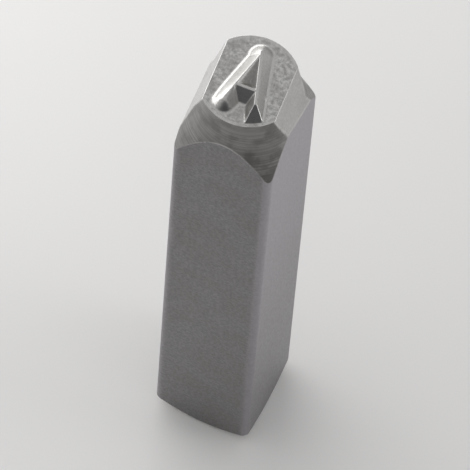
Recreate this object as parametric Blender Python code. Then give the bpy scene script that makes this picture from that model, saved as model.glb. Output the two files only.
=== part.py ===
# Steel letter punch: a square hand punch with a turned head and the letter A raised on its face.
# The punch stands on its struck end, centred on the origin, with the letter at the top (+Z).
# The foot of the letter is towards the front (-Y) and its apex towards the back (+Y).
# Lengths are in metres and angles in degrees.

import math

import bmesh
import bpy

MM = 0.001

# The square bar
OVERALL_LENGTH = 65.0 * MM
SHANK_WIDTH = 9.5 * MM
EDGE_RADIUS = 0.9 * MM

# The struck end, with its turned chamfer
STRUCK_FLAT_DIAMETER = 8.6 * MM
CHAMFER_SLOPE = 30.0

# The turned head, from the shoulder corners up to the rim that the letter stands on.
# It was turned a little behind the bar's axis, and its neck widens a little on the way down
HEAD_LENGTH = 7.1 * MM
HEAD_SHIFT = 0.25 * MM
NECK_SLOPE = 7.0
FLARE_SLOPE = 30.0
NECK_FILLET = 6.0 * MM

# The two flats, ground by hand on the left and right of the head. Each has its own distance
# from the axis at the rim, and they are turned a little on the bar, as the letter is
RIGHT_FLAT_REACH = 3.45 * MM
LEFT_FLAT_REACH = 3.2 * MM
FLAT_TURN = 5.0
FLAT_SLOPE = 15.0

# The cone that the lathe leaves on the head inside its rim, which the letter is milled from. Its top
# is as wide as the letter is high, and its side makes the ends of the feet and of the apex
LETTER_RELIEF = 1.3 * MM
CONE_TOP_DIAMETER = 5.8 * MM
CONE_SLOPE = 46.0
RIM_WIDTH = 0.3 * MM

# The raised letter: its spread is the distance between the middles of the two crests where the
# feet end, as a share of the cone's top
LETTER_SPREAD = 0.52
LETTER_TURN = 4.0
CREST_WIDTH = 0.2 * MM
CREST_LAND = 0.05 * MM
FLANK_SLOPE = 51.0
CROSSBAR_RISE = 1.25 * MM

# How finely the round shapes are divided, how far a cutter reaches past what it cuts,
# and the angle between two faces from which the edge between them is shaded sharp
ROUND_SEGMENTS = 120
EDGE_SEGMENTS = 6
FILLET_SEGMENTS = 12
REACH = 1.0 * MM
SHARP_ANGLE = 18.0

RIM_HEIGHT = OVERALL_LENGTH - LETTER_RELIEF
SHOULDER_HEIGHT = RIM_HEIGHT - HEAD_LENGTH
HALF_WIDTH = SHANK_WIDTH / 2
CORNER_RADIUS = math.sqrt(2) * (HALF_WIDTH - EDGE_RADIUS) + EDGE_RADIUS
CONE_TOP_RADIUS = CONE_TOP_DIAMETER / 2
FOOT_X = LETTER_SPREAD * CONE_TOP_RADIUS
FOOT_Y = HEAD_SHIFT - math.sqrt(CONE_TOP_RADIUS * CONE_TOP_RADIUS - FOOT_X * FOOT_X)
APEX_Y = HEAD_SHIFT + CONE_TOP_RADIUS
LETTER_HEIGHT = APEX_Y - FOOT_Y


def tangent(degrees):
    return math.tan(math.radians(degrees))


def add_object(name, mesh):
    """Turns a finished bmesh into an object in the scene."""
    bmesh.ops.recalc_face_normals(mesh, faces=mesh.faces)
    data = bpy.data.meshes.new(name)
    mesh.to_mesh(data)
    mesh.free()
    body = bpy.data.objects.new(name, data)
    bpy.context.scene.collection.objects.link(body)
    return body


def add_block(name, size, centre):
    """A block of this size, its centre moved from the object's own origin."""
    mesh = bmesh.new()
    bmesh.ops.create_cube(mesh, size=1.0)
    bmesh.ops.scale(mesh, vec=size, verts=mesh.verts)
    bmesh.ops.translate(mesh, vec=centre, verts=mesh.verts)
    return add_object(name, mesh)


def as_cutter(body):
    body.hide_render = True
    body.display_type = "WIRE"
    return body


def boolean(body, operation, cutter):
    modifier = body.modifiers.new(operation.title() + " " + cutter.name, "BOOLEAN")
    modifier.operation = operation
    modifier.solver = "EXACT"
    modifier.object = cutter


def make_bar():
    """The square bar with its long edges rounded, a little longer than the finished punch."""
    length = OVERALL_LENGTH + REACH
    mesh = bmesh.new()
    bmesh.ops.create_cube(mesh, size=1.0)
    bmesh.ops.scale(mesh, vec=(SHANK_WIDTH, SHANK_WIDTH, length), verts=mesh.verts)
    bmesh.ops.translate(mesh, vec=(0, 0, length / 2), verts=mesh.verts)
    long_edges = [edge for edge in mesh.edges if edge.calc_length() > length - REACH]
    bmesh.ops.bevel(
        mesh,
        geom=long_edges,
        affect="EDGES",
        offset=EDGE_RADIUS,
        segments=EDGE_SEGMENTS,
        profile=0.5,
    )
    return add_object("letter_punch", mesh)


def struck_profile():
    """(radius, height) up the lower turned shape: the chamfer round the struck end, then clear of the bar."""
    outside = CORNER_RADIUS + REACH
    struck_radius = STRUCK_FLAT_DIAMETER / 2
    return [
        (struck_radius, 0.0),
        (outside, (outside - struck_radius) * tangent(CHAMFER_SLOPE)),
        (outside, OVERALL_LENGTH / 3),
    ]


def head_profile():
    """(radius, height) up the upper turned shape: clear of the bar, then flared shoulder, fillet, neck and cone."""
    cone_foot_radius = CONE_TOP_RADIUS + LETTER_RELIEF / tangent(CONE_SLOPE)
    rim_radius = cone_foot_radius + RIM_WIDTH
    flare = tangent(FLARE_SLOPE)
    neck = tangent(NECK_SLOPE)
    meeting = (CORNER_RADIUS + SHOULDER_HEIGHT * flare - rim_radius - RIM_HEIGHT * neck) / (flare - neck)
    fillet_top = meeting + NECK_FILLET * tangent((FLARE_SLOPE - NECK_SLOPE) / 2) * math.cos(math.radians(NECK_SLOPE))
    centre_radius = rim_radius + (RIM_HEIGHT - fillet_top) * neck + NECK_FILLET * math.cos(math.radians(NECK_SLOPE))
    centre_height = fillet_top + NECK_FILLET * math.sin(math.radians(NECK_SLOPE))
    profile = [
        (CORNER_RADIUS + REACH, OVERALL_LENGTH / 2),
        (CORNER_RADIUS + REACH, SHOULDER_HEIGHT - REACH / flare),
    ]
    for step in range(FILLET_SEGMENTS, -1, -1):
        angle = math.radians(NECK_SLOPE + (FLARE_SLOPE - NECK_SLOPE) * step / FILLET_SEGMENTS)
        profile.append((centre_radius - NECK_FILLET * math.cos(angle), centre_height - NECK_FILLET * math.sin(angle)))
    profile.append((rim_radius, RIM_HEIGHT))
    profile.append((cone_foot_radius, RIM_HEIGHT))
    profile.append((CONE_TOP_RADIUS, OVERALL_LENGTH))
    return profile


def make_turned_shape():
    """What the lathe leaves: the lower shape is on the bar's axis and the head is a little behind it."""
    mesh = bmesh.new()
    for centre_y, profile in ((0.0, struck_profile()), (HEAD_SHIFT, head_profile())):
        points = [mesh.verts.new((radius, centre_y, height)) for radius, height in profile]
        lines = [mesh.edges.new(pair) for pair in zip(points, points[1:])]
        bmesh.ops.spin(
            mesh,
            geom=points + lines,
            axis=(0, 0, 1),
            cent=(0, centre_y, 0),
            angle=math.tau,
            steps=ROUND_SEGMENTS,
            use_merge=True,
        )
    open_ends = [edge for edge in mesh.edges if edge.is_boundary]
    bmesh.ops.bridge_loops(mesh, edges=[edge for edge in open_ends if REACH < edge.verts[0].co.z < RIM_HEIGHT])
    bmesh.ops.holes_fill(mesh, edges=[edge for edge in mesh.edges if edge.is_boundary])
    return as_cutter(add_object("turned_shape", mesh))


def make_flat_cutter(name, direction, reach):
    """The block that the grinder takes off the head: direction is the angle from +X that the flat faces."""
    height = 4 * (HEAD_LENGTH + LETTER_RELIEF)
    block = add_block(name, (SHANK_WIDTH, 2 * SHANK_WIDTH, height), (HALF_WIDTH, 0, 0))
    facing = math.radians(direction)
    block.location = (reach * math.cos(facing), reach * math.sin(facing), RIM_HEIGHT)
    block.rotation_euler = (0, -math.radians(FLAT_SLOPE), facing)
    return as_cutter(block)


def grown(outline, distance):
    """A convex outline moved outward by this distance, with its corners kept sharp."""
    sides = []
    for start, end in zip(outline, outline[1:] + outline[:1]):
        length = math.dist(start, end)
        normal_x = (end[1] - start[1]) / length
        normal_y = (start[0] - end[0]) / length
        sides.append((normal_x, normal_y, normal_x * start[0] + normal_y * start[1] + distance))
    corners = []
    for (ax, ay, a_reach), (bx, by, b_reach) in zip(sides[-1:] + sides[:-1], sides):
        cross = ax * by - ay * bx
        corners.append(((a_reach * by - b_reach * ay) / cross, (ax * b_reach - bx * a_reach) / cross))
    return corners


def flank_levels():
    """(height, outward growth) of a stroke from below the rim up its flank, then straight up at the crest's land."""
    foot = RIM_HEIGHT - REACH / 2
    land = OVERALL_LENGTH - CREST_LAND
    return (
        (foot, (land - foot) / tangent(FLANK_SLOPE)),
        (land, 0.0),
        (OVERALL_LENGTH + REACH, 0.0),
    )


def make_stroke(name, outlines):
    """A stroke of the letter, lofted up through its outlines, one for each of the flank's levels."""
    mesh = bmesh.new()
    rings = []
    for (height, _), outline in zip(flank_levels(), outlines):
        points = [mesh.verts.new((x, y, height)) for x, y in outline]
        rings.append([mesh.edges.new(pair) for pair in zip(points, points[1:] + points[:1])])
    for lower, upper in zip(rings, rings[1:]):
        bmesh.ops.bridge_loops(mesh, edges=lower + upper)
    bmesh.ops.holes_fill(mesh, edges=rings[0] + rings[-1])
    stroke = add_object(name, mesh)
    stroke.rotation_euler = (0, 0, math.radians(LETTER_TURN))
    return as_cutter(stroke)


def make_leg(side):
    """One leg of the letter, from past its foot to the apex: side is +1 on the right and -1 on the left."""
    across = CREST_WIDTH * math.dist((0, APEX_Y), (FOOT_X, FOOT_Y)) / LETTER_HEIGHT
    lean = (FOOT_X + across / 2) / LETTER_HEIGHT
    end_x = FOOT_X + lean * REACH
    crest = [
        (-end_x - across / 2, FOOT_Y - REACH),
        (-end_x + across / 2, FOOT_Y - REACH),
        (across / 2, APEX_Y - across / 2 / lean),
        (0, APEX_Y),
    ]
    if side > 0:
        crest = [(-x, y) for x, y in reversed(crest)]
    name = "right_leg" if side > 0 else "left_leg"
    return make_stroke(name, [grown(crest, growth) for _, growth in flank_levels()])


def make_crossbar():
    """The crossbar ends along the middles of the two legs, at every level of its flanks."""
    middle = FOOT_Y + CROSSBAR_RISE
    outlines = []
    for _, growth in flank_levels():
        front = middle - CREST_WIDTH / 2 - growth
        back = middle + CREST_WIDTH / 2 + growth
        front_x = FOOT_X * (APEX_Y - front) / LETTER_HEIGHT
        back_x = FOOT_X * (APEX_Y - back) / LETTER_HEIGHT
        outlines.append([(-front_x, front), (front_x, front), (back_x, back), (-back_x, back)])
    return make_stroke("crossbar", outlines)


def make_waste():
    """What is cut away round the letter, down to the rim."""
    height = LETTER_RELIEF + 3 * REACH
    size = (2 * SHANK_WIDTH, 2 * SHANK_WIDTH, height)
    waste = as_cutter(add_block("waste", size, (0, 0, RIM_HEIGHT + height / 2)))
    for stroke in (make_leg(1), make_leg(-1), make_crossbar()):
        boolean(waste, "DIFFERENCE", stroke)
    return waste


def tool_steel():
    material = bpy.data.materials.new("hardened tool steel")
    material.use_nodes = True
    surface = material.node_tree.nodes["Principled BSDF"]
    surface.inputs["Base Color"].default_value = (0.30, 0.29, 0.28, 1.0)
    surface.inputs["Metallic"].default_value = 1.0
    surface.inputs["Roughness"].default_value = 0.4
    return material


def finish(body):
    """Makes the body's cuts, and shades it smooth where it is round and sharp at its edges."""
    bpy.context.view_layer.update()
    graph = bpy.context.evaluated_depsgraph_get()
    cut = bpy.data.meshes.new_from_object(body.evaluated_get(graph))
    body.modifiers.clear()
    body.data = cut
    cut.shade_smooth()
    cut.set_sharp_from_angle(angle=math.radians(SHARP_ANGLE))
    cut.materials.clear()
    cut.materials.append(tool_steel())


for thing in list(bpy.data.objects):
    bpy.data.objects.remove(thing, do_unlink=True)

punch = make_bar()
boolean(punch, "INTERSECT", make_turned_shape())
boolean(punch, "DIFFERENCE", make_flat_cutter("right_flat", FLAT_TURN, RIGHT_FLAT_REACH))
boolean(punch, "DIFFERENCE", make_flat_cutter("left_flat", 180.0 + FLAT_TURN, LEFT_FLAT_REACH))
boolean(punch, "DIFFERENCE", make_waste())
finish(punch)
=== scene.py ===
"""Looks of the steel letter punch. Its shape is solved again from the surfaces that the tools cut, with
each meeting of two surfaces worn round, and each tool leaves its own finish. Lengths are in
millimetres until the finished mesh is made, and angles are in degrees."""

import math

import bmesh
import bpy
import numpy as np
from mathutils import Matrix, Vector


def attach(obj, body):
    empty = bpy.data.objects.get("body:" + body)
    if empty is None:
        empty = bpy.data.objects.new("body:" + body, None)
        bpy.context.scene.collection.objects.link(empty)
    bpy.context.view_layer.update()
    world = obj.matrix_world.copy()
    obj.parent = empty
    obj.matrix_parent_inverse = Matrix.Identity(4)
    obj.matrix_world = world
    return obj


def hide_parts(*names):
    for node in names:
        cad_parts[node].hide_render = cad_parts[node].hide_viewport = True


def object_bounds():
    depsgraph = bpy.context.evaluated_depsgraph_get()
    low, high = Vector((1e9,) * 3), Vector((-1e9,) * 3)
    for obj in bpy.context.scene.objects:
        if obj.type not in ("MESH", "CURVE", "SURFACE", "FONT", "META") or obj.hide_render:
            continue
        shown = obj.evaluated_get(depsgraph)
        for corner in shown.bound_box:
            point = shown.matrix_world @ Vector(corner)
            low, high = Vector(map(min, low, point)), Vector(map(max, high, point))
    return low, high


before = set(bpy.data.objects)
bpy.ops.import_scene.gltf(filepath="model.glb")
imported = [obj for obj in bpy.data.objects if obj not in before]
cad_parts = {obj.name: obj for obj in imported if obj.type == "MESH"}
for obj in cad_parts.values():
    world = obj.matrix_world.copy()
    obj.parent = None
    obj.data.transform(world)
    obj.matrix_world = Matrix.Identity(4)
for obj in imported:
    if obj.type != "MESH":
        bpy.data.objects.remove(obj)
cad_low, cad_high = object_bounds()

MM = 0.001

# The bar, from the frame, and its rounded long edges
OVERALL_LENGTH = cad_high.z / MM
SHANK_WIDTH = (cad_high.x - cad_low.x) / MM
EDGE_RADIUS = 0.6

# The struck end
STRUCK_FLAT_DIAMETER = 8.6
CHAMFER_SLOPE = 30.0

# The turned head: its length down to the shoulder, how far back its axis stands at the rim, how much the
# axis leans to the right in each millimetre down, and the radius at the shoulder
HEAD_LENGTH = 7.1
HEAD_SHIFT = 0.25
HEAD_LEAN = 0.047
SHOULDER_RADIUS = 6.345
NECK_SLOPE = 7.0
FLARE_SLOPE = 21.6
NECK_FILLET = 3.0

# The two flats ground on the head
RIGHT_FLAT_REACH = 3.45
LEFT_FLAT_REACH = 3.2
FLAT_TURN = 5.0
RIGHT_FLAT_SLOPE = 18.5
LEFT_FLAT_SLOPE = 15.0

# The cone on the head and the letter milled from it
LETTER_RELIEF = 1.3
CONE_TOP_DIAMETER = 5.8
CONE_SLOPE = 46.0
RIM_WIDTH = 0.3
LETTER_SPREAD = 0.52
LETTER_TURN = 4.0
CREST_WIDTH = 0.2
FLANK_SLOPE = 51.0
CROSSBAR_RISE = 1.25

# What the engraving cutter made of the letter: a sharper left leg that stands further in, a steeper
# right foot that runs out over the cone, and a left foot whose round fades out over a share of the leg.
# The crests end below the apex.
LEFT_CREST_WIDTH = 0.12
LEFT_LEG_SHIFT = 0.34
RIGHT_FOOT_SLOPE = 62.0
RIGHT_FOOT_OVERRUN = 1.0
RIGHT_TOP_DROP = 0.4
LEFT_FOOT_OVERRUN = 0.3
LEFT_FOOT_ROUND = 0.35
LEFT_ROUND_SHARE = 0.28
LEFT_TOP_DROP = 0.8

# How far the edges are worn round, by where they are, the hollows at the root of the letter and in its
# inner corners, and how much of the brightness of a rubbed edge is left down at the shoulder
EDGE_WEAR = 0.06
FLAT_WEAR = 0.1
STRUCK_WEAR = 0.15
CREST_WEAR = 0.04
ROOT_HOLLOW = 0.2
INNER_HOLLOW = 0.06
SHOULDER_RUB = 0.35

# The mesh: points in each ring round the punch, the rays that place them, rings up the chamfer and the
# bar, how far below the shoulder the close rings of the head begin, and the steps from ring to ring on
# the head, its top and the struck end
RING_POINTS = 420
FINE_RAYS = 40 * RING_POINTS
CHAMFER_RINGS = 18
BAR_RINGS = 8
ARCH_DEPTH = 2.0
HEAD_STEP = 0.08
TOP_STEP = 0.06
STRUCK_STEP = 0.48

# The search for the skin: how far it reaches past what it looks for, and how often it halves the stretch
REACH = 1.0
HALVINGS = 30

# Where a grain counts as weak and as strong, and how smooth a rubbed edge is
WEAK, STRONG = 0.3, 0.7
RUBBED_ROUGHNESS = 0.22

# What follows from these values
RIM_HEIGHT = OVERALL_LENGTH - LETTER_RELIEF
SHOULDER_HEIGHT = RIM_HEIGHT - HEAD_LENGTH
HALF_WIDTH = SHANK_WIDTH / 2
CORNER_REACH = math.sqrt(2) * (HALF_WIDTH - EDGE_RADIUS) + EDGE_RADIUS
CONE_TOP_RADIUS = CONE_TOP_DIAMETER / 2
FOOT_X = LETTER_SPREAD * CONE_TOP_RADIUS
FOOT_Y = HEAD_SHIFT - math.sqrt(CONE_TOP_RADIUS * CONE_TOP_RADIUS - FOOT_X * FOOT_X)
APEX_Y = HEAD_SHIFT + CONE_TOP_RADIUS
LETTER_HEIGHT = APEX_Y - FOOT_Y
RIM_RADIUS = CONE_TOP_RADIUS + LETTER_RELIEF / math.tan(math.radians(CONE_SLOPE)) + RIM_WIDTH


def colour(code):
    """An sRGB hex value as the linear colour that a shader takes."""
    channels = [int(code[start : start + 2], 16) / 255 for start in (1, 3, 5)]
    return [c / 12.92 if c <= 0.04045 else ((c + 0.055) / 1.055) ** 2.4 for c in channels] + [1.0]


def per(size):
    """The scale of a pattern that repeats about every so many millimetres."""
    return 1 / (size * MM)


def add(tree, kind, inputs=None, **settings):
    """Adds a node. Each of its inputs is given a value, or the output that feeds it."""
    node = tree.nodes.new(kind)
    for name, value in settings.items():
        setattr(node, name, value)
    for socket, value in (inputs or {}).items():
        if isinstance(value, bpy.types.NodeSocket):
            tree.links.new(value, node.inputs[socket])
        else:
            node.inputs[socket].default_value = value
    return node


def steel(name):
    """An empty steel, all metal and with the default IOR: (the material, its tree, its surface shader,
    the place on the punch in metres)."""
    material = bpy.data.materials.new(name)
    material.use_nodes = True
    tree = material.node_tree
    surface = tree.nodes["Principled BSDF"]
    surface.inputs["Metallic"].default_value = 1.0
    place = add(tree, "ShaderNodeTexCoord").outputs["Object"]
    return material, tree, surface, place


def stained(tree, base, stain, pattern, low, high, amount):
    """A base colour, stained where a pattern is strong: not at all where the pattern is below low, and
    by this amount where it is above high."""
    limits = {"Value": pattern, "From Min": low, "From Max": high, "To Min": 0.0, "To Max": amount}
    share = add(tree, "ShaderNodeMapRange", limits, interpolation_type="SMOOTHSTEP").outputs["Result"]
    # A mix of two colours takes its share as input 0 and the colours as inputs 6 and 7
    return add(tree, "ShaderNodeMix", {0: share, 6: base, 7: stain}, data_type="RGBA").outputs[2]


def dress(tree, surface, place, base, grain, at_weak, at_strong, relief, depth):
    """Puts on a surface its colour, a roughness that changes from at_weak to at_strong as the grain gets
    stronger, and a relief of this depth in millimetres. Along its edges handling has rubbed the steel
    bright and smooth, here more and there less."""
    limits = {"Value": grain, "From Min": WEAK, "From Max": STRONG, "To Min": at_weak, "To Max": at_strong}
    roughness = add(tree, "ShaderNodeMapRange", limits, interpolation_type="SMOOTHSTEP").outputs["Result"]

    edge = add(tree, "ShaderNodeAttribute", attribute_name="edge").outputs["Fac"]
    # The rubs are about 0.7 mm long
    rubs = add(tree, "ShaderNodeTexNoise", {"Vector": place, "Scale": per(0.7), "Detail": 4.0, "Roughness": 0.7})
    limits = {"Value": rubs.outputs[0], "From Min": 0.35, "From Max": 0.6, "To Min": 0.3, "To Max": 1.0}
    wear = add(tree, "ShaderNodeMapRange", limits, interpolation_type="SMOOTHSTEP").outputs["Result"]
    rubbed = add(tree, "ShaderNodeMath", {0: edge, 1: wear}, operation="MULTIPLY").outputs[0]

    # A mix of two colours takes them as inputs 6 and 7, and a mix of two numbers as inputs 2 and 3
    bright = add(tree, "ShaderNodeMix", {0: rubbed, 6: base, 7: colour("#CBCAC8")}, data_type="RGBA")
    tree.links.new(bright.outputs[2], surface.inputs["Base Color"])
    polished = add(tree, "ShaderNodeMix", {0: rubbed, 2: roughness, 3: RUBBED_ROUGHNESS})
    tree.links.new(polished.outputs[0], surface.inputs["Roughness"])
    bump = add(tree, "ShaderNodeBump", {"Height": relief, "Strength": 1.0, "Distance": depth * MM})
    tree.links.new(bump.outputs["Normal"], surface.inputs["Normal"])


def drawn_bar():
    """Tool steel bar, cold drawn, hardened and left with the dull skin of the heat treatment: a dark grey
    with a fine mottled grain and faint lines along the bar. Its long edges are lighter, partly from rubbing
    and partly a painted highlight, and its right face carries a painted reflection that makes it lighter."""
    material, tree, surface, place = steel("tool steel, cold drawn and hardened")
    # The skin's grain is about 0.05 mm wide and is drawn at 0.3 mm, so that it shows
    grain = add(tree, "ShaderNodeTexNoise", {"Vector": place, "Scale": per(0.3), "Detail": 4.0, "Roughness": 0.7})
    # The clouds that the heat left are about 4 mm wide
    cloud = add(tree, "ShaderNodeTexNoise", {"Vector": place, "Scale": per(4.0), "Detail": 3.0})
    # The lines of the drawing are about 7 mm long and 0.05 mm apart, and are drawn 0.25 mm apart
    along = add(tree, "ShaderNodeMapping", {"Vector": place, "Scale": (per(0.25), per(0.25), per(7.0))})
    lines = add(tree, "ShaderNodeTexNoise", {"Vector": along.outputs[0], "Scale": 1.0, "Detail": 3.0})
    skin = stained(tree, colour("#7C7B7C"), colour("#8A898A"), grain.outputs[0], WEAK, STRONG, 1.0)
    skin = stained(tree, skin, colour("#787572"), cloud.outputs[0], 0.35, 0.65, 0.35)
    skin = stained(tree, skin, colour("#8D8C8B"), lines.outputs[0], 0.5, 0.75, 0.3)

    # Near a long edge both x and y are far from the middle. There the skin is lighter and lilac: partly rubbed
    # by handling, partly a painted highlight of the light that the rounded edges catch. The clouds make this
    # strip uneven, by up to 0.8 mm.
    split = add(tree, "ShaderNodeSeparateXYZ", {0: place})
    across, deep = (
        add(tree, "ShaderNodeMath", {0: split.outputs[axis]}, operation="ABSOLUTE").outputs[0] for axis in (0, 1)
    )
    least = add(tree, "ShaderNodeMath", {0: across, 1: deep}, operation="MINIMUM").outputs[0]
    uneven = add(tree, "ShaderNodeMath", {0: cloud.outputs[0], 1: 0.8 * MM, 2: least}, operation="MULTIPLY_ADD")
    worn_and_sheen_strip = (HALF_WIDTH - 0.5) * MM, (HALF_WIDTH + 0.3) * MM
    base = stained(tree, skin, colour("#A09CA2"), uneven.outputs[0], *worn_and_sheen_strip, 0.6)

    # The right face is painted lighter and lilac, a painted reflection of the bright room to its right, as far
    # as the round of its edges, and more towards the head
    limits = {"Value": split.outputs[2], "From Min": 5 * MM, "From Max": 60 * MM, "To Min": 0.3, "To Max": 0.85}
    sheen_towards_head = add(tree, "ShaderNodeMapRange", limits, interpolation_type="SMOOTHSTEP").outputs["Result"]
    right_face_sheen = (HALF_WIDTH - 1.0) * MM, (HALF_WIDTH - 0.1) * MM
    base = stained(tree, base, colour("#A8A5AA"), split.outputs[0], *right_face_sheen, sheen_towards_head)

    relief = add(tree, "ShaderNodeMath", {0: lines.outputs[0], 1: 0.6, 2: grain.outputs[0]}, operation="MULTIPLY_ADD")
    dress(tree, surface, place, base, grain.outputs[0], 0.52, 0.38, relief.outputs[0], 0.012)
    return material


def turned_neck():
    """Tool steel turned on a lathe and tarnished since: a smooth, clouded grey, with fine feed rings round
    the neck, some of them deeper."""
    material, tree, surface, place = steel("tool steel, turned")
    split = add(tree, "ShaderNodeSeparateXYZ", {0: place})
    # The feed is 0.08 mm a turn and is drawn at 0.18 mm, so that it shows
    height = {"W": split.outputs[2], "Scale": per(0.18), "Detail": 2.0}
    feed = add(tree, "ShaderNodeTexNoise", height, noise_dimensions="1D")
    # The tarnish is in clouds about 1.6 mm wide. The tears that the tool left are 0.05 mm wide and are drawn
    # at 0.2 mm.
    cloud = add(tree, "ShaderNodeTexNoise", {"Vector": place, "Scale": per(1.6), "Detail": 4.0})
    grain = add(tree, "ShaderNodeTexNoise", {"Vector": place, "Scale": per(0.2), "Detail": 3.0})
    base = stained(tree, colour("#7B7A79"), colour("#8F8E8C"), feed.outputs[0], WEAK, STRONG, 1.0)
    base = stained(tree, base, colour("#676563"), cloud.outputs[0], 0.4, 0.65, 0.7)
    relief = add(tree, "ShaderNodeMath", {0: grain.outputs[0], 1: 0.5, 2: feed.outputs[0]}, operation="MULTIPLY_ADD")
    dress(tree, surface, place, base, cloud.outputs[0], 0.28, 0.38, relief.outputs[0], 0.005)
    return material


def ground_flat():
    """Tool steel ground by hand on a wheel: a satin grey with short scratches across the flat."""
    material, tree, surface, place = steel("tool steel, hand ground")
    # The wheel's scratches are about 2 mm long and 0.05 mm apart, and are drawn 0.12 mm apart
    along = add(tree, "ShaderNodeMapping", {"Vector": place, "Scale": (per(2.0), per(2.0), per(0.12))})
    scratch = add(tree, "ShaderNodeTexNoise", {"Vector": along.outputs[0], "Scale": 1.0, "Detail": 4.0})
    # The pits that its grit left are 0.1 mm wide and are drawn at 0.22 mm, in clouds about 2.2 mm wide
    grain = add(tree, "ShaderNodeTexNoise", {"Vector": place, "Scale": per(0.22), "Detail": 4.0, "Roughness": 0.7})
    cloud = add(tree, "ShaderNodeTexNoise", {"Vector": place, "Scale": per(2.2), "Detail": 3.0})
    base = stained(tree, colour("#ACABAA"), colour("#BCBBB9"), grain.outputs[0], WEAK, STRONG, 1.0)
    base = stained(tree, base, colour("#A2A09E"), cloud.outputs[0], 0.4, 0.7, 0.4)
    relief = add(
        tree, "ShaderNodeMath", {0: scratch.outputs[0], 1: 0.8, 2: grain.outputs[0]}, operation="MULTIPLY_ADD"
    )
    dress(tree, surface, place, base, grain.outputs[0], 0.45, 0.32, relief.outputs[0], 0.012)
    return material


def faced_rim():
    """Tool steel milled flat round the letter: a speckled mid grey."""
    material, tree, surface, place = steel("tool steel, milled flat")
    # The cutter's specks are about 0.36 mm wide, in clouds about 1.2 mm wide
    grain = add(tree, "ShaderNodeTexNoise", {"Vector": place, "Scale": per(0.36), "Detail": 4.0, "Roughness": 0.7})
    cloud = add(tree, "ShaderNodeTexNoise", {"Vector": place, "Scale": per(1.2), "Detail": 3.0})
    base = stained(tree, colour("#9C9B9A"), colour("#D4D3D1"), grain.outputs[0], WEAK, STRONG, 1.0)
    base = stained(tree, base, colour("#9E9C9A"), cloud.outputs[0], 0.45, 0.7, 0.5)
    dress(tree, surface, place, base, grain.outputs[0], 0.42, 0.3, grain.outputs[0], 0.012)
    return material


def milled_letter():
    """Tool steel cut by an engraving cutter: the brightest surface, with faint steps along the flanks."""
    material, tree, surface, place = steel("tool steel, engraved")
    split = add(tree, "ShaderNodeSeparateXYZ", {0: place})
    # The steps are 0.05 mm high and the tears 0.05 mm wide. They are drawn at 0.15 and 0.2 mm, so that they
    # show.
    height = {"W": split.outputs[2], "Scale": per(0.15), "Detail": 1.0}
    steps = add(tree, "ShaderNodeTexNoise", height, noise_dimensions="1D")
    grain = add(tree, "ShaderNodeTexNoise", {"Vector": place, "Scale": per(0.2), "Detail": 4.0, "Roughness": 0.6})
    base = stained(tree, colour("#B9B8B6"), colour("#C9C8C6"), grain.outputs[0], WEAK, STRONG, 1.0)
    relief = add(tree, "ShaderNodeMath", {0: steps.outputs[0], 1: 0.5, 2: grain.outputs[0]}, operation="MULTIPLY_ADD")
    dress(tree, surface, place, base, grain.outputs[0], 0.34, 0.28, relief.outputs[0], 0.004)
    return material


def struck_face():
    """Tool steel hammered on its end: dull bruises with bright spots where the hammer landed last."""
    material, tree, surface, place = steel("tool steel, hammered")
    # The bruises are about 1.6 mm wide. The grain between them is 0.1 mm wide and is drawn at 0.25 mm.
    bruise = add(tree, "ShaderNodeTexVoronoi", {"Vector": place, "Scale": per(1.6)}, feature="SMOOTH_F1")
    grain = add(tree, "ShaderNodeTexNoise", {"Vector": place, "Scale": per(0.25), "Detail": 4.0})
    base = stained(tree, colour("#B2B1AF"), colour("#7D7B79"), bruise.outputs[0], 0.1, 0.6, 1.0)
    relief = add(tree, "ShaderNodeMath", {0: bruise.outputs[0], 1: 3.0, 2: grain.outputs[0]}, operation="MULTIPLY_ADD")
    dress(tree, surface, place, base, grain.outputs[0], 0.45, 0.25, relief.outputs[0], 0.02)
    return material


def sine(degrees):
    return np.sin(np.radians(degrees))


def cosine(degrees):
    return np.cos(np.radians(degrees))


def tangent(degrees):
    return np.tan(np.radians(degrees))


# Each surface below gives how far a point is outside it, in millimetres, and less than zero inside


def both(first, second, wear):
    """Inside both surfaces, with the edge where they meet worn round."""
    rounding = np.hypot(np.maximum(wear + first, 0), np.maximum(wear + second, 0))
    return np.minimum(-wear, np.maximum(first, second)) + rounding


def either(first, second, hollow):
    """Inside either surface, with the corner where they meet filled to a hollow."""
    filling = np.hypot(np.maximum(hollow - first, 0), np.maximum(hollow - second, 0))
    return np.maximum(hollow, np.minimum(first, second)) - filling


def square_bar(x, y):
    """The bar's four faces and its rounded long edges."""
    over_x = np.abs(x) - (HALF_WIDTH - EDGE_RADIUS)
    over_y = np.abs(y) - (HALF_WIDTH - EDGE_RADIUS)
    corner = np.hypot(np.maximum(over_x, 0), np.maximum(over_y, 0))
    return corner + np.minimum(np.maximum(over_x, over_y), 0) - EDGE_RADIUS


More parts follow.
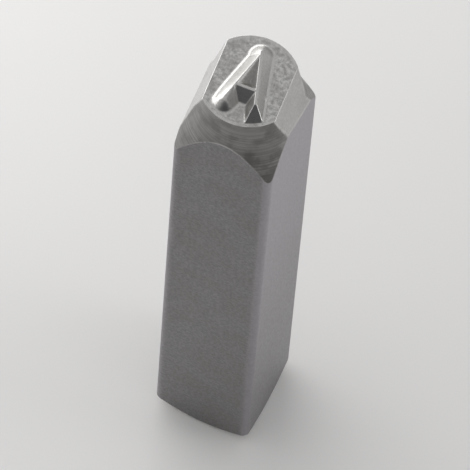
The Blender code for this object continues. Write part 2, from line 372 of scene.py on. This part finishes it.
def turned_side(x, y, z):
    """The neck and the flare of the head, joined by the round of the turning tool. Down the head their
    axis leans a little to the right."""
    radius = np.hypot(x - HEAD_LEAN * (RIM_HEIGHT - z), y - HEAD_SHIFT)
    neck_radius = RIM_RADIUS + (RIM_HEIGHT - z) * tangent(NECK_SLOPE)
    flare_radius = SHOULDER_RADIUS + (SHOULDER_HEIGHT - z) * tangent(FLARE_SLOPE)
    neck = (radius - neck_radius) * cosine(NECK_SLOPE)
    flare = (radius - flare_radius) * cosine(FLARE_SLOPE)

    # Without the round, the two would meet at this height
    meeting = SHOULDER_RADIUS + SHOULDER_HEIGHT * tangent(FLARE_SLOPE) - RIM_RADIUS - RIM_HEIGHT * tangent(NECK_SLOPE)
    meeting /= tangent(FLARE_SLOPE) - tangent(NECK_SLOPE)
    top = meeting + NECK_FILLET * tangent((FLARE_SLOPE - NECK_SLOPE) / 2) * cosine(NECK_SLOPE)
    centre_radius = RIM_RADIUS + (RIM_HEIGHT - top) * tangent(NECK_SLOPE) + NECK_FILLET * cosine(NECK_SLOPE)
    centre_height = top + NECK_FILLET * sine(NECK_SLOPE)
    inward, down = centre_radius - radius, centre_height - z
    slope = np.degrees(np.arctan2(down, inward))
    fillet = NECK_FILLET - np.hypot(inward, down)
    return np.where(slope < NECK_SLOPE, neck, np.where(slope > FLARE_SLOPE, flare, fillet))


def ground_side(x, y, z, facing, reach, slope):
    """One of the two flats: the way round the punch that it faces, its distance at the rim and its slope."""
    out = x * cosine(facing) + y * sine(facing) - reach
    return out * cosine(slope) + (z - RIM_HEIGHT) * sine(slope)


def stroke(x, y, z, start, end, crest_width=CREST_WIDTH, start_slope=FLANK_SLOPE, start_round=0.0):
    """A stroke of the letter. Its crest runs from start to end, and its flanks slope down all round it.
    At its start the flanks can be steeper and the crest rounder."""
    run_x, run_y = end[0] - start[0], end[1] - start[1]
    share = ((x - start[0]) * run_x + (y - start[1]) * run_y) / (run_x * run_x + run_y * run_y)
    share = np.clip(share, 0, 1)
    aside = np.hypot(x - start[0] - share * run_x, y - start[1] - share * run_y)
    softness = start_round * np.clip(1 - share / LEFT_ROUND_SHARE, 0, 1)
    out = np.hypot(aside, softness) - crest_width / 2
    slope = start_slope + share * (FLANK_SLOPE - start_slope)
    return out * sine(slope) + (z - OVERALL_LENGTH) * cosine(slope)


def leg_place(side, height):
    """The middle of a leg's crest at this height up the letter: side is +1 on the right and -1 on the left.
    The left leg stands a little further in."""
    shift = LEFT_LEG_SHIFT if side < 0 else 0
    return side * FOOT_X * (1 - height / LETTER_HEIGHT) + shift, FOOT_Y + height


def crossbar_end(side):
    """Where the crossbar's crest runs into a leg, just inside the leg's own crest."""
    x, y = leg_place(side, CROSSBAR_RISE)
    return x - side * CREST_WIDTH, y


def letter(x, y, z):
    """The raised letter and the rim round it. The cutter went round the apex and the left foot, and the
    right leg runs out to the cone."""
    turned_x = x * cosine(LETTER_TURN) + y * sine(LETTER_TURN)
    turned_y = y * cosine(LETTER_TURN) - x * sine(LETTER_TURN)
    left_foot, left_top = leg_place(-1, -LEFT_FOOT_OVERRUN), leg_place(-1, LETTER_HEIGHT - LEFT_TOP_DROP)
    left_leg = stroke(turned_x, turned_y, z, left_foot, left_top, LEFT_CREST_WIDTH, start_round=LEFT_FOOT_ROUND)
    right_foot, right_top = leg_place(1, -RIGHT_FOOT_OVERRUN), leg_place(1, LETTER_HEIGHT - RIGHT_TOP_DROP)
    right_leg = stroke(turned_x, turned_y, z, right_foot, right_top, start_slope=RIGHT_FOOT_SLOPE)
    crossbar = stroke(turned_x, turned_y, z, crossbar_end(-1), crossbar_end(1))
    strokes = either(np.minimum(left_leg, right_leg), crossbar, INNER_HOLLOW)
    return either(strokes, z - RIM_HEIGHT, ROOT_HOLLOW)


def cone(x, y, z):
    """The cone that the right foot ends on, and the rim round it."""
    radius = np.hypot(x, y - HEAD_SHIFT)
    side = (radius - CONE_TOP_RADIUS) * sine(CONE_SLOPE) + (z - OVERALL_LENGTH) * cosine(CONE_SLOPE)
    return either(side, z - RIM_HEIGHT, INNER_HOLLOW)


def chamfer(x, y, z):
    """The chamfer turned round the struck end."""
    return (np.hypot(x, y) - STRUCK_FLAT_DIAMETER / 2) * sine(CHAMFER_SLOPE) - z * cosine(CHAMFER_SLOPE)


def surfaces(x, y, z):
    """Every surface of the punch as (finish, how far outside it, how far its edges are worn)."""
    return (
        ("bar", square_bar(x, y), EDGE_WEAR),
        ("neck", turned_side(x, y, z), EDGE_WEAR),
        ("flat", ground_side(x, y, z, FLAT_TURN, RIGHT_FLAT_REACH, RIGHT_FLAT_SLOPE), FLAT_WEAR),
        ("flat", ground_side(x, y, z, 180 + FLAT_TURN, LEFT_FLAT_REACH, LEFT_FLAT_SLOPE), FLAT_WEAR),
        ("letter", letter(x, y, z), EDGE_WEAR),
        ("letter", cone(x, y, z), CREST_WEAR),
        ("letter", z - OVERALL_LENGTH, CREST_WEAR),
        ("struck", chamfer(x, y, z), STRUCK_WEAR),
        ("struck", -z, STRUCK_WEAR),
    )


def outside(x, y, z):
    """How far a point is outside the worn punch."""
    total = None
    for _, surface, wear in surfaces(x, y, z):
        total = surface if total is None else both(total, surface, wear)
    return total


def meet(point_at, inside, beyond):
    """Halves the stretch from inside to beyond on each ray until the skin is found."""
    for _ in range(HALVINGS):
        middle = (inside + beyond) / 2
        out = outside(*point_at(middle)) > 0
        inside, beyond = np.where(out, inside, middle), np.where(out, middle, beyond)
    return inside


def ring_angles():
    """Angles round the punch whose rays meet the bar at even steps along its outline."""
    fine = np.linspace(0, math.tau, FINE_RAYS, endpoint=False)
    ways = np.cos(fine), np.sin(fine)
    half_way = np.full_like(fine, OVERALL_LENGTH / 2)
    reach = meet(lambda r: (r * ways[0], r * ways[1], half_way), 0 * fine, 0 * fine + SHANK_WIDTH)
    x, y = reach * ways[0], reach * ways[1]
    steps = np.hypot(np.roll(x, -1) - x, np.roll(y, -1) - y)
    along = np.concatenate([[0], np.cumsum(steps)])
    return np.interp(np.linspace(0, along[-1], RING_POINTS, endpoint=False), along, np.append(fine, math.tau))


def ring_heights():
    """The heights of the rings up the side, close together at the struck end and on the head."""
    chamfer_top = (CORNER_REACH - STRUCK_FLAT_DIAMETER / 2) * tangent(CHAMFER_SLOPE) + 2 * STRUCK_WEAR
    arches = SHOULDER_HEIGHT - ARCH_DEPTH
    # The last rings close in on the worn edge of the rim
    near_rim = RIM_HEIGHT - EDGE_WEAR * np.array([2.0, 1.2, 0.8, 0.5, 0.3])
    return np.concatenate(
        [
            np.linspace(STRUCK_WEAR / 4, chamfer_top, CHAMFER_RINGS, endpoint=False),
            np.linspace(chamfer_top, arches, BAR_RINGS, endpoint=False),
            np.arange(arches, near_rim[0] - HEAD_STEP / 2, HEAD_STEP),
            near_rim,
        ]
    )


def shares(step, wear):
    """Shares of the way out from the middle to an edge ring, closer together by the worn edge."""
    first = wear * np.array([0.3, 0.8, 1.5, 2.5])
    inward = np.concatenate([first, np.arange(first[-1] + step, HALF_WIDTH, step)])
    return np.append(1 - inward / HALF_WIDTH, 0.0)


def skin_points():
    """Rings of points from the middle of the struck end, up the side and in to the middle of the top."""
    angle = ring_angles()
    ways = np.cos(angle), np.sin(angle)
    heights = ring_heights()[:, None] + 0 * angle
    reach = meet(lambda r: (r * ways[0], r * ways[1], heights), 0 * heights, 0 * heights + SHANK_WIDTH)
    side = np.stack([reach * ways[0], reach * ways[1], heights], axis=-1)

    rows = shares(TOP_STEP, EDGE_WEAR)[:, None]
    x, y = rows * side[-1, :, 0], rows * side[-1, :, 1]
    z = meet(lambda z: (x, y, z), 0 * x + RIM_HEIGHT - REACH, 0 * x + OVERALL_LENGTH + REACH)
    top = np.stack([x, y, z], axis=-1)

    rows = shares(STRUCK_STEP, STRUCK_WEAR)[::-1, None]
    x, y = rows * side[0, :, 0], rows * side[0, :, 1]
    z = meet(lambda z: (x, y, z), 0 * x + REACH, 0 * x - REACH)
    bottom = np.stack([x, y, z], axis=-1)
    return np.concatenate([bottom, side, top])


def skin_normals(x, y, z):
    """The way that the skin faces at each of its points, from how fast it is left in each direction."""
    # A step much smaller than the wear of an edge
    small = EDGE_WEAR / 20
    slopes = [
        outside(x + dx, y + dy, z + dz) - outside(x - dx, y - dy, z - dz)
        for dx, dy, dz in ((small, 0, 0), (0, small, 0), (0, 0, small))
    ]
    normals = np.stack(slopes, axis=-1)
    return normals / np.linalg.norm(normals, axis=1, keepdims=True)


def edge_share(x, y, z):
    """How much of an edge each point of the skin is, from 0 to 1. On an edge the wear has taken the skin
    inside every surface. Handling has rubbed the edges of the head more than those of the bar."""
    depth = -np.max([surface for _, surface, _ in surfaces(x, y, z)], axis=0)
    # A quarter of the wear inside counts as all edge
    share = np.clip(depth / (EDGE_WEAR / 4), 0, 1)
    return share * np.interp(z, [SHOULDER_HEIGHT, RIM_HEIGHT], [SHOULDER_RUB, 1.0])


def finish_numbers(x, y, z):
    """The number of the finish at each place on the skin, which is that of the surface it lies on. Where
    the letter's surface is down at the rim, it has the rim's finish."""
    names = list(FINISHES)
    found = surfaces(x, y, z)
    nearest = np.argmax([surface for _, surface, _ in found], axis=0)
    numbers = np.array([names.index(name) for name, _, _ in found])[nearest]
    on_rim = (numbers == names.index("letter")) & (z < RIM_HEIGHT + ROOT_HOLLOW / 10)
    numbers[on_rim] = names.index("rim")
    return numbers


def make_punch():
    """The skin as one closed mesh, with a finish on each face and the share of an edge at each point. It
    is shaded by the way that the skin really faces."""
    rings = skin_points()
    row_count, ring_count, _ = rings.shape
    points = np.concatenate([rings[0, :1], rings[1:-1].reshape(-1, 3), rings[-1, :1]])
    last = len(points) - 1
    index = 1 + np.arange((row_count - 2) * ring_count).reshape(row_count - 2, ring_count)
    beside = np.roll(index, -1, axis=1)
    faces = np.stack([index[:-1], beside[:-1], beside[1:], index[1:]], axis=-1).reshape(-1, 4).tolist()
    faces += [[0, b, a] for a, b in zip(index[0].tolist(), beside[0].tolist())]
    faces += [[last, a, b] for a, b in zip(index[-1].tolist(), beside[-1].tolist())]
    data = bpy.data.meshes.new("finished_punch")
    data.from_pydata((points * MM).tolist(), [], faces)
    data.update()

    edges = edge_share(*points.T).astype(np.float32)
    data.attributes.new("edge", "FLOAT", "POINT").data.foreach_set("value", edges)
    for material in FINISHES.values():
        data.materials.append(material)
    centres = np.empty(len(data.polygons) * 3)
    data.polygons.foreach_get("center", centres)
    numbers = finish_numbers(*(centres.reshape(-1, 3).T / MM)).astype(np.int32)
    data.polygons.foreach_set("material_index", numbers)

    data.shade_smooth()
    data.normals_split_custom_set_from_vertices(skin_normals(*points.T).tolist())
    punch = bpy.data.objects.new("finished_punch", data)
    bpy.context.scene.collection.objects.link(punch)
    return punch


FINISHES = {
    "bar": drawn_bar(),
    "neck": turned_neck(),
    "flat": ground_flat(),
    "rim": faced_rim(),
    "letter": milled_letter(),
    "struck": struck_face(),
}

punch = make_punch()
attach(punch, "root")
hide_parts("letter_punch")


# The floor, and the soft light of a small studio

FLOOR_RADIUS = 800.0

# Each softbox: its azimuth, its distance, its width, its height and its radiance
SOFTBOXES = {
    "back left softbox": (236.0, 110.0, 180.0, 130.0, 1.9),
    "back right softbox": (111.0, 300.0, 120.0, 170.0, 2.0),
    "right softbox": (92.0, 170.0, 140.0, 90.0, 0.8),
    "front left softbox": (290.0, 180.0, 110.0, 80.0, 1.8),
}
SOFTBOX_CLEARANCE = 1.0

# The camera, and the share of the picture's height that the punch fills
CAMERA_AZIMUTH = 21.5
CAMERA_ELEVATION = 65.0
CAMERA_ROLL = 5.0
CAMERA_DISTANCE = 740.0
SENSOR_WIDTH = 36.0
FRAME_FILL = 0.92


def make_floor():
    """A round painted board: pale and matt, with faint clouds about 30 mm wide."""
    mesh = bmesh.new()
    bmesh.ops.create_circle(mesh, cap_ends=True, segments=96, radius=FLOOR_RADIUS * MM)
    data = bpy.data.meshes.new("floor")
    mesh.to_mesh(data)
    mesh.free()
    floor = bpy.data.objects.new("floor", data)
    bpy.context.scene.collection.objects.link(floor)
    material = bpy.data.materials.new("painted board")
    material.use_nodes = True
    tree = material.node_tree
    surface = tree.nodes["Principled BSDF"]
    place = add(tree, "ShaderNodeTexCoord").outputs["Object"]
    cloud = add(tree, "ShaderNodeTexNoise", {"Vector": place, "Scale": per(30.0), "Detail": 3.0})
    shades = {0: cloud.outputs[0], 6: colour("#E4E3E2"), 7: colour("#E9E8E7")}
    base = add(tree, "ShaderNodeMix", shades, data_type="RGBA").outputs[2]
    tree.links.new(base, surface.inputs["Base Color"])
    surface.inputs["Roughness"].default_value = 0.8
    data.materials.append(material)


def direction(azimuth, elevation):
    """The way from the punch to what stands at this azimuth (0 in front, 90 to the right) and elevation."""
    turn, rise = math.radians(azimuth), math.radians(elevation)
    return Vector((math.sin(turn) * math.cos(rise), -math.cos(turn) * math.cos(rise), math.sin(rise)))


def aim(thing, towards):
    """Turns a lamp or a camera to look this way."""
    thing.rotation_euler = towards.to_track_quat("-Z", "Y").to_euler()


def make_softbox(name, azimuth, distance, width, height, radiance):
    """A soft lamp that stands just above the floor and faces the punch."""
    lamp = bpy.data.lights.new(name, "AREA")
    lamp.shape = "RECTANGLE"
    lamp.size, lamp.size_y = width * MM, height * MM
    lamp.energy = math.pi * width * height * MM * MM * radiance
    thing = bpy.data.objects.new(name, lamp)
    bpy.context.scene.collection.objects.link(thing)
    way = direction(azimuth, 0)
    thing.location = (way * distance + Vector((0, 0, height / 2 + SOFTBOX_CLEARANCE))) * MM
    aim(thing, -way)
    thing.visible_camera = False


def make_world():
    """A room that is paler above, behind and to the left of the punch, and dimmer in front of it."""
    world = bpy.data.worlds.new("studio")
    world.use_nodes = True
    bpy.context.scene.world = world
    tree = world.node_tree
    way = add(tree, "ShaderNodeTexCoord").outputs["Generated"]
    # Dimmest where the cosine to the pale side is below -0.55, and palest where it is above 0.2
    pale_side = Vector((-0.45, 0.65, 0.6)).normalized()
    towards = add(tree, "ShaderNodeVectorMath", {0: way, 1: pale_side}, operation="DOT_PRODUCT").outputs["Value"]
    shade = stained(tree, colour("#3C3C3F"), colour("#D0D0D0"), towards, -0.55, 0.2, 1.0)
    back = tree.nodes["Background"]
    tree.links.new(shade, back.inputs["Color"])
    back.inputs["Strength"].default_value = 1.0


def make_camera():
    """Looks at the middle of the punch as the photograph does and from as far away. The lens is as long as
    it has to be for the punch to fill the picture."""
    lens = bpy.data.cameras.new("camera")
    camera = bpy.data.objects.new("camera", lens)
    bpy.context.scene.collection.objects.link(camera)
    bpy.context.scene.camera = camera
    way = direction(CAMERA_AZIMUTH, CAMERA_ELEVATION)
    aim(camera, -way)
    camera.rotation_euler = (
        camera.rotation_euler.to_matrix() @ Matrix.Rotation(math.radians(CAMERA_ROLL), 3, "Z")
    ).to_euler()
    right, up = (camera.rotation_euler.to_matrix() @ Vector(axis) for axis in ((1, 0, 0), (0, 1, 0)))
    sides = (cad_low.x, cad_high.x), (cad_low.y, cad_high.y), (cad_low.z, cad_high.z)
    corners = [Vector((x, y, z)) for x in sides[0] for y in sides[1] for z in sides[2]]
    wide = [corner.dot(right) for corner in corners]
    tall = [corner.dot(up) for corner in corners]
    middle = right * (min(wide) + max(wide)) / 2 + up * (min(tall) + max(tall)) / 2
    middle += way * way.dot(Vector((0, 0, OVERALL_LENGTH / 2 * MM)))
    camera.location = middle + way * CAMERA_DISTANCE * MM
    lens.sensor_width = SENSOR_WIDTH
    lens.lens = SENSOR_WIDTH * CAMERA_DISTANCE * MM * FRAME_FILL / (max(tall) - min(tall))
    # It sees from 50 mm to 20 m
    lens.clip_start, lens.clip_end = 0.05, 20.0


make_floor()
make_world()
for name, numbers in SOFTBOXES.items():
    make_softbox(name, *numbers)
make_camera()
bpy.context.scene.view_settings.view_transform = "Standard"
